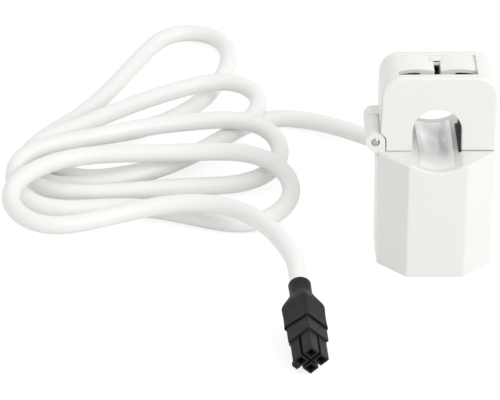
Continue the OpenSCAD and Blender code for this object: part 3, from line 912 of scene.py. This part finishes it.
    def tails(self) -> Object:
        """Builds the two hidden ends: a cut jacket in the strain relief and one in the sleeve.

        Returns:
            The two ends as one piece.
        """
        radius = self.diameter / 2
        inner = self.outlet[1] - self.inner_start
        home = Matrix.Translation(Vector((0.0, self.inner_start, self.outlet[2])) * MM)
        near = [(0.0, 0.0)] + [(radius - inset, along) for inset, along in self.cut_edge]
        turns = [2.0 * math.pi * k / self.sides for k in range(self.sides)]
        shape = bmesh.new()
        for place, length, sign in ((home, inner, 1.0), (self.plug.matrix(), self.sleeve_depth, -1.0)):
            far = [(reach, length - along) for reach, along in reversed(near)]
            skin(shape, [[shape.verts.new(place @ (Vector((reach * math.cos(turn), sign * along,
                                                           reach * math.sin(turn))) * MM))
                          for turn in turns] for reach, along in near + far])
        bmesh.ops.remove_doubles(shape, verts=shape.verts, dist=WELD)
        bmesh.ops.recalc_face_normals(shape, faces=shape.faces)
        tails = link_shape("cable_tails", shape)
        tails.data.shade_smooth()
        return self.settle(tails, CABLE_JACKET, Body.HOUSING, "cable_ends")


@dataclass
class LowerHousing(Assembly):
    """The eight-sided housing with its cover, liner, pin and strain relief. Sizes are in millimetres.

    Attributes:
        edge: Radius of the moulded edges.
        fine: Radius of small edges.
        height: Height of the parting plane.
        reach: Distance from the middle, square or slanting, beyond which an edge is an outer one.
    """

    edge: float = 0.5
    fine: float = 0.2
    height: float = 39.0
    reach: float = 17.0

    def edge_radius(self, ends: Sequence[Vector], angle: float) -> float:
        """Gives each edge of the housing its radius.

        Args:
            ends: Its two ends.
            angle: Angle between its faces in degrees.

        Returns:
            The radius.
        """
        outer = all(max(abs(p.x), abs(p.y), (abs(p.x) + abs(p.y)) / math.sqrt(2.0)) > self.reach
                    for p in ends)
        walls = all(0.0 <= p.z <= self.height + NEAR for p in ends)
        return self.edge if outer and walls else 0.0

    def build(self) -> Object:
        """Builds and dresses the pieces of the lower half.

        Returns:
            The strain relief, which holds the cable.
        """
        body = Body.HOUSING
        self.rounded(body, "lower_housing", "housing_shell", SADDLE_WHITE_PAINTED_SHADE, self.edge_radius, self.edge)
        self.rounded(body, "saddle_liner", "saddle_plate", BRIGHT_PLATE_PAINTED_SHADE, even(0.0), self.fine)
        self.rounded(body, "hinge_pin", "hinge_axle", PIN_STEEL, even(0.0), self.fine)
        relief = self.rounded(body, "strain_relief", "cable_grommet", SOFT_GROMMET, even(self.fine),
                              self.fine, segments=2)
        self.dress("bottom_cover", WHITE_SHELL)
        return relief


@dataclass
class CoilPack(Assembly):
    """Core, bobbin, winding and board inside the housing: CAD solids with their own finishes.

    Attributes:
        looks: Finish of each CAD node.
    """

    looks: Dict[str, Finish] = field(default_factory=lambda: {
        "lower_core": CORE_SHEETS, "bobbin": BOBBIN_NYLON, "secondary_winding": COIL_WIRE,
        "winding_tape": COIL_TAPE, "circuit_board": BOARD_MASK, "bobbin_pins": SOLDER_TIN,
        "burden_resistor": RESISTOR_PAINT, "protection_diodes": DIODE_BODY, "lead_wires": WIRE_COAT})

    def build(self) -> None:
        """Dresses the inner pieces."""
        for node, finish in self.looks.items():
            self.dress(node, finish)


@dataclass
class UpperJaw(Assembly):
    """The hinged jaw with its core, liner and spring insert. Sizes and places are in millimetres.

    Attributes:
        edge: Radius of the jaw's outer edges.
        fine: Radius of the window's and the pocket's edges.
        spring: Radius of the spring insert's edges.
        lip: Radius of the jaw's lower edge.
        faces: Places of the front and the rear face along Y.
        window: Half width and height that take in the window's arch.
        knuckle: Place along X and height that take in the hinge's knuckle.
        lowest: Height under which an edge is the jaw's lower edge.
        pocket: Places of the pocket's front and rear wall along Y.
        rim: Height over which an edge is the pocket's rim.
        seat: Half width and place along Y beyond which the insert lies against the pocket.
    """

    edge: float = 0.9
    fine: float = 0.35
    spring: float = 0.25
    lip: float = 0.25
    faces: Pair = (-8.4, 10.6)
    window: Pair = (7.6, 53.3)
    knuckle: Pair = (-14.0, 45.6)
    lowest: float = 39.4
    pocket: Pair = (-5.6, 7.8)
    rim: float = 63.5
    seat: Pair = (11.8, 7.5)

    def edge_radius(self, ends: Sequence[Vector], angle: float) -> float:
        """Gives each edge of the jaw its radius.

        Args:
            ends: Its two ends.
            angle: Angle between its faces in degrees.

        Returns:
            The radius.
        """
        outer = all(min(abs(p.y - face) for face in self.faces) < NEAR for p in ends)
        if outer and not any(p.x < self.knuckle[0] and p.z < self.knuckle[1] for p in ends):
            if all(p.z < self.lowest for p in ends):
                return self.lip
            arch = all(abs(p.x) < self.window[0] and p.z < self.window[1] for p in ends)
            return self.fine if arch else self.edge
        across = abs(ends[0].y - ends[1].y) < NEAR
        walled = min(abs(ends[0].y - wall) for wall in self.pocket) < NEAR
        return self.fine if across and walled and all(p.z > self.rim for p in ends) else 0.0

    def arm_radius(self, ends: Sequence[Vector], angle: float) -> float:
        """Gives each edge of the spring insert its radius: those against the pocket stay sharp.

        Args:
            ends: Its two ends.
            angle: Angle between its faces in degrees.

        Returns:
            The radius.
        """
        against = all(abs(p.x) > self.seat[0] or p.y > self.seat[1] for p in ends)
        return 0.0 if against or angle < SHARP_ANGLE else self.spring

    def build(self) -> None:
        """Builds and dresses the pieces of the jaw."""
        body = Body.JAW
        self.rounded(body, "jaw_shell", "jaw_block", WHITE_SHELL, self.edge_radius, self.edge, segments=4)
        self.rounded(body, "core_retainer", "spring_insert", WHITE_INSERT, self.arm_radius, self.spring,
                     segments=2)
        self.rounded(body, "jaw_liner", "arch_plate", PAINTED_SHADE_LINER, even(0.0), self.fine)
        self.dress("upper_core", CORE_SHEETS)


@dataclass
class PlugEnd(Assembly):
    """The shrink sleeve and the four-way connector on the cable's far end. Sizes are in millimetres.

    Attributes:
        plug: Place of the connector.
        neck_r: Radius of the sleeve's neck.
        neck_len: Length of the neck.
        neck_dip: How far the neck is drawn in at its middle.
        neck_lip: Share of the neck's width that is left at its rounded end.
        bore_r: Radius of the bore at the neck.
        bore_corner: Corner of the square, 2 wide, that spaces the bore's points.
        bore: Depths at which the bore starts and ends.
        rise: Distances from the neck between which the sleeve widens.
        square_start: Where the square part starts.
        sleeve_len: Length of the sleeve.
        sleeve_w: Width of the square part.
        waist: How far the square part is drawn in at its middle.
        corner: Radius of its corners.
        soft_corner: What the corners gain towards the neck.
        corner_steps: Steps round a corner.
        flat_shares: Points along a flat side, as shares of half its length.
        fold: Depth of the folds on the shoulder, as a share of its width.
        folds: Folds round the shoulder.
        fold_twist: Turn of the folds for each millimetre along, in radians.
        first_rings: Distances of the first rings from the neck.
        ring_step: Distance between the others.
        lip_rings: Distances of the last rings from the mouth.
        mouth: Rings from the lip inwards: distance from the mouth, inset and corner.
        lining: Thickness of the wall further in.
        slant: How far the mouth's cut runs back at its lowest corner.
        slant_reach: Length over which the wall follows that cut.
        slant_turn: Direction of that corner in degrees, from the plug's own X.
        block_edge: Radius of the connector's edges.
    """

    plug: PlugFrame = field(default_factory=PlugFrame)
    neck_r: float = 3.5
    neck_len: float = 5.7
    neck_dip: float = 0.08
    neck_lip: float = 0.94
    bore_r: float = 2.95
    bore_corner: float = 0.4
    bore: Pair = (0.1, 3.0)
    rise: Pair = (4.7, 10.8)
    square_start: float = 11.2
    sleeve_len: float = 20.0
    sleeve_w: float = 9.9
    waist: float = 0.12
    corner: float = 1.2
    soft_corner: float = 1.5
    corner_steps: int = 6
    flat_shares: Tuple[float, ...] = (-0.66, -0.33, 0.0, 0.33, 0.66)
    fold: float = 0.05
    folds: int = 8
    fold_twist: float = 0.9
    first_rings: Tuple[float, ...] = (0.25, 0.5)
    ring_step: float = 0.75
    lip_rings: Tuple[float, ...] = (0.35, 0.08)
    mouth: Tuple[Point, ...] = ((0.0, 0.12, 1.1), (0.0, 0.38, 0.4), (0.15, 0.47, 0.25), (6.0, 0.47, 0.25))
    lining: float = 0.3
    slant: float = 0.9
    slant_reach: float = 4.0
    slant_turn: float = 225.0
    block_edge: float = 0.2

    def square(self, half: float, corner: float) -> Outline:
        """Gives a rounded square's outline.

        Args:
            half: Half its width.
            corner: Radius of its corners.

        Returns:
            Points round the outline.
        """
        inner = half - corner
        side = [Vector((half, share * inner)) for share in self.flat_shares]
        for k in range(self.corner_steps + 1):
            bend = math.radians(90.0 * k / self.corner_steps)
            side.append(Vector((inner + corner * math.cos(bend), inner + corner * math.sin(bend))))
        turns = [Matrix.Rotation(quarter * math.pi / 2.0, 2) for quarter in range(4)]
        return [tuple(turn @ point) for turn in turns for point in side]

    def section(self, along: float) -> Outline:
        """Gives the sleeve's outline at one distance from its neck.

        Args:
            along: Distance from the neck.

        Returns:
            Points round the outline.
        """
        low, high = self.rise
        share = min(1.0, max(0.0, (along - low) / (high - low)))
        share = share * share * (3.0 - 2.0 * share)
        half = self.sleeve_w / 2.0
        if along > self.square_start:
            way = (along - self.square_start) / (self.sleeve_len - self.square_start)
            half -= self.waist * math.sin(math.pi * way)
        neck = self.neck_r - self.neck_dip * math.sin(min(1.0, along / self.neck_len) * math.pi)
        outline = []
        for x, z in self.square(half, self.corner + (1.0 - share) * self.soft_corner):
            turn = math.atan2(z, x)
            fold = self.fold * share * (1.0 - share) * math.sin(self.folds * turn + self.fold_twist * along)
            outline.append(((1.0 - share) * neck * math.cos(turn) + share * x * (1.0 - fold),
                            (1.0 - share) * neck * math.sin(turn) + share * z * (1.0 - fold)))
        return outline

    def cut_back(self, along: float, x: float, z: float) -> float:
        """Sets a point of the sleeve back where its mouth is cut at a slant.

        Args:
            along: Distance from the neck.
            x: Point's place across the plug.
            z: Point's place up the plug.

        Returns:
            Distance from the neck after the cut.
        """
        near = max(0.0, 1.0 - (self.sleeve_len - along) / self.slant_reach)
        toward = max(0.0, math.cos(math.atan2(z, x) - math.radians(self.slant_turn)))
        return along - self.slant * (near * toward) ** 2

    def loft(self) -> List[Tuple[float, Outline]]:
        """Gives the sleeve's rings: in at the bore, along the outside and back along the inside.

        Returns:
            Distance from the neck and outline of each ring.
        """
        start, end = self.first_rings[-1], self.sleeve_len
        count = math.ceil((end - start) / self.ring_step)
        steps = [*self.first_rings[:-1], *(start + self.ring_step * k for k in range(count)),
                 *(end - back for back in self.lip_rings)]
        turns = [math.atan2(z, x) for x, z in self.square(1.0, self.bore_corner)]
        hole = [(self.bore_r * math.cos(turn), self.bore_r * math.sin(turn)) for turn in turns]
        lip = [(x * self.neck_lip, z * self.neck_lip) for x, z in self.section(0.0)]
        rings = [(self.bore[1], hole), (self.bore[0], hole), (0.0, lip)]
        rings += [(step, self.section(step)) for step in steps]
        rings += [(end - back, self.square(self.sleeve_w / 2.0 - inset, corner))
                  for back, inset, corner in self.mouth]
        for step in steps[::-2]:
            if self.bore[1] < step < end - self.mouth[-1][0]:
                outline = self.section(step)
                keep = 1.0 - self.lining / min(math.hypot(x, z) for x, z in outline)
                rings.append((step, [(x * keep, z * keep) for x, z in outline]))
        return rings

    def sleeve(self) -> Object:
        """Lofts the shrink sleeve from its round neck to its square mouth.

        Returns:
            The sleeve.
        """
        place = self.plug.matrix()
        shape = bmesh.new()
        rows = [[shape.verts.new(place @ (Vector((x, -self.cut_back(along, x, z), z)) * MM))
                 for x, z in outline] for along, outline in self.loft()]
        skin(shape, rows + rows[:1])
        bmesh.ops.recalc_face_normals(shape, faces=shape.faces)
        sleeve = link_shape("shrink_tube_sleeve", shape)
        sleeve.data.shade_smooth()
        smooth = sleeve.modifiers.new("smooth_skin", "SUBSURF")
        smooth.levels = smooth.render_levels = 1
        return self.settle(sleeve, SHRINK_TUBE, Body.HOUSING, "shrink_sleeve")

    def build(self) -> List[Object]:
        """Builds and dresses the connector.

        Returns:
            The pieces and CAD nodes that hang on the cable.
        """
        rule = even(self.block_edge)
        return [self.sleeve(),
                self.rounded(Body.HOUSING, "connector_housing", "plug_block", PLUG_NYLON, rule,
                             self.block_edge, segments=2),
                self.rounded(Body.PLUG_LATCH, "connector_latch", "plug_lever", PLUG_NYLON, rule,
                             self.block_edge, segments=2),
                self.dress("connector_terminals", CONTACT_GOLD), self.dress("connector_wires", WIRE_COAT)]


def main() -> None:
    """Builds the stage, the cable and each sub-assembly in order."""
    logging.basicConfig(level=logging.INFO, format="%(name)s: %(message)s")
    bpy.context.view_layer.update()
    bpy.context.scene.view_settings.view_transform = "Standard"
    stage = StudioStage()
    stage.camera()
    finishes = Finishes()
    run = CableRun(finishes)
    cable = run.build()
    tails = run.tails()
    stage.light()
    stage.floor()
    relief = LowerHousing(finishes).build()
    CoilPack(finishes).build()
    UpperJaw(finishes).build()
    carried = PlugEnd(finishes, run.plug).build()
    run.declare(cable, [relief, tails, *carried])


if __name__ == "__main__":
    main()
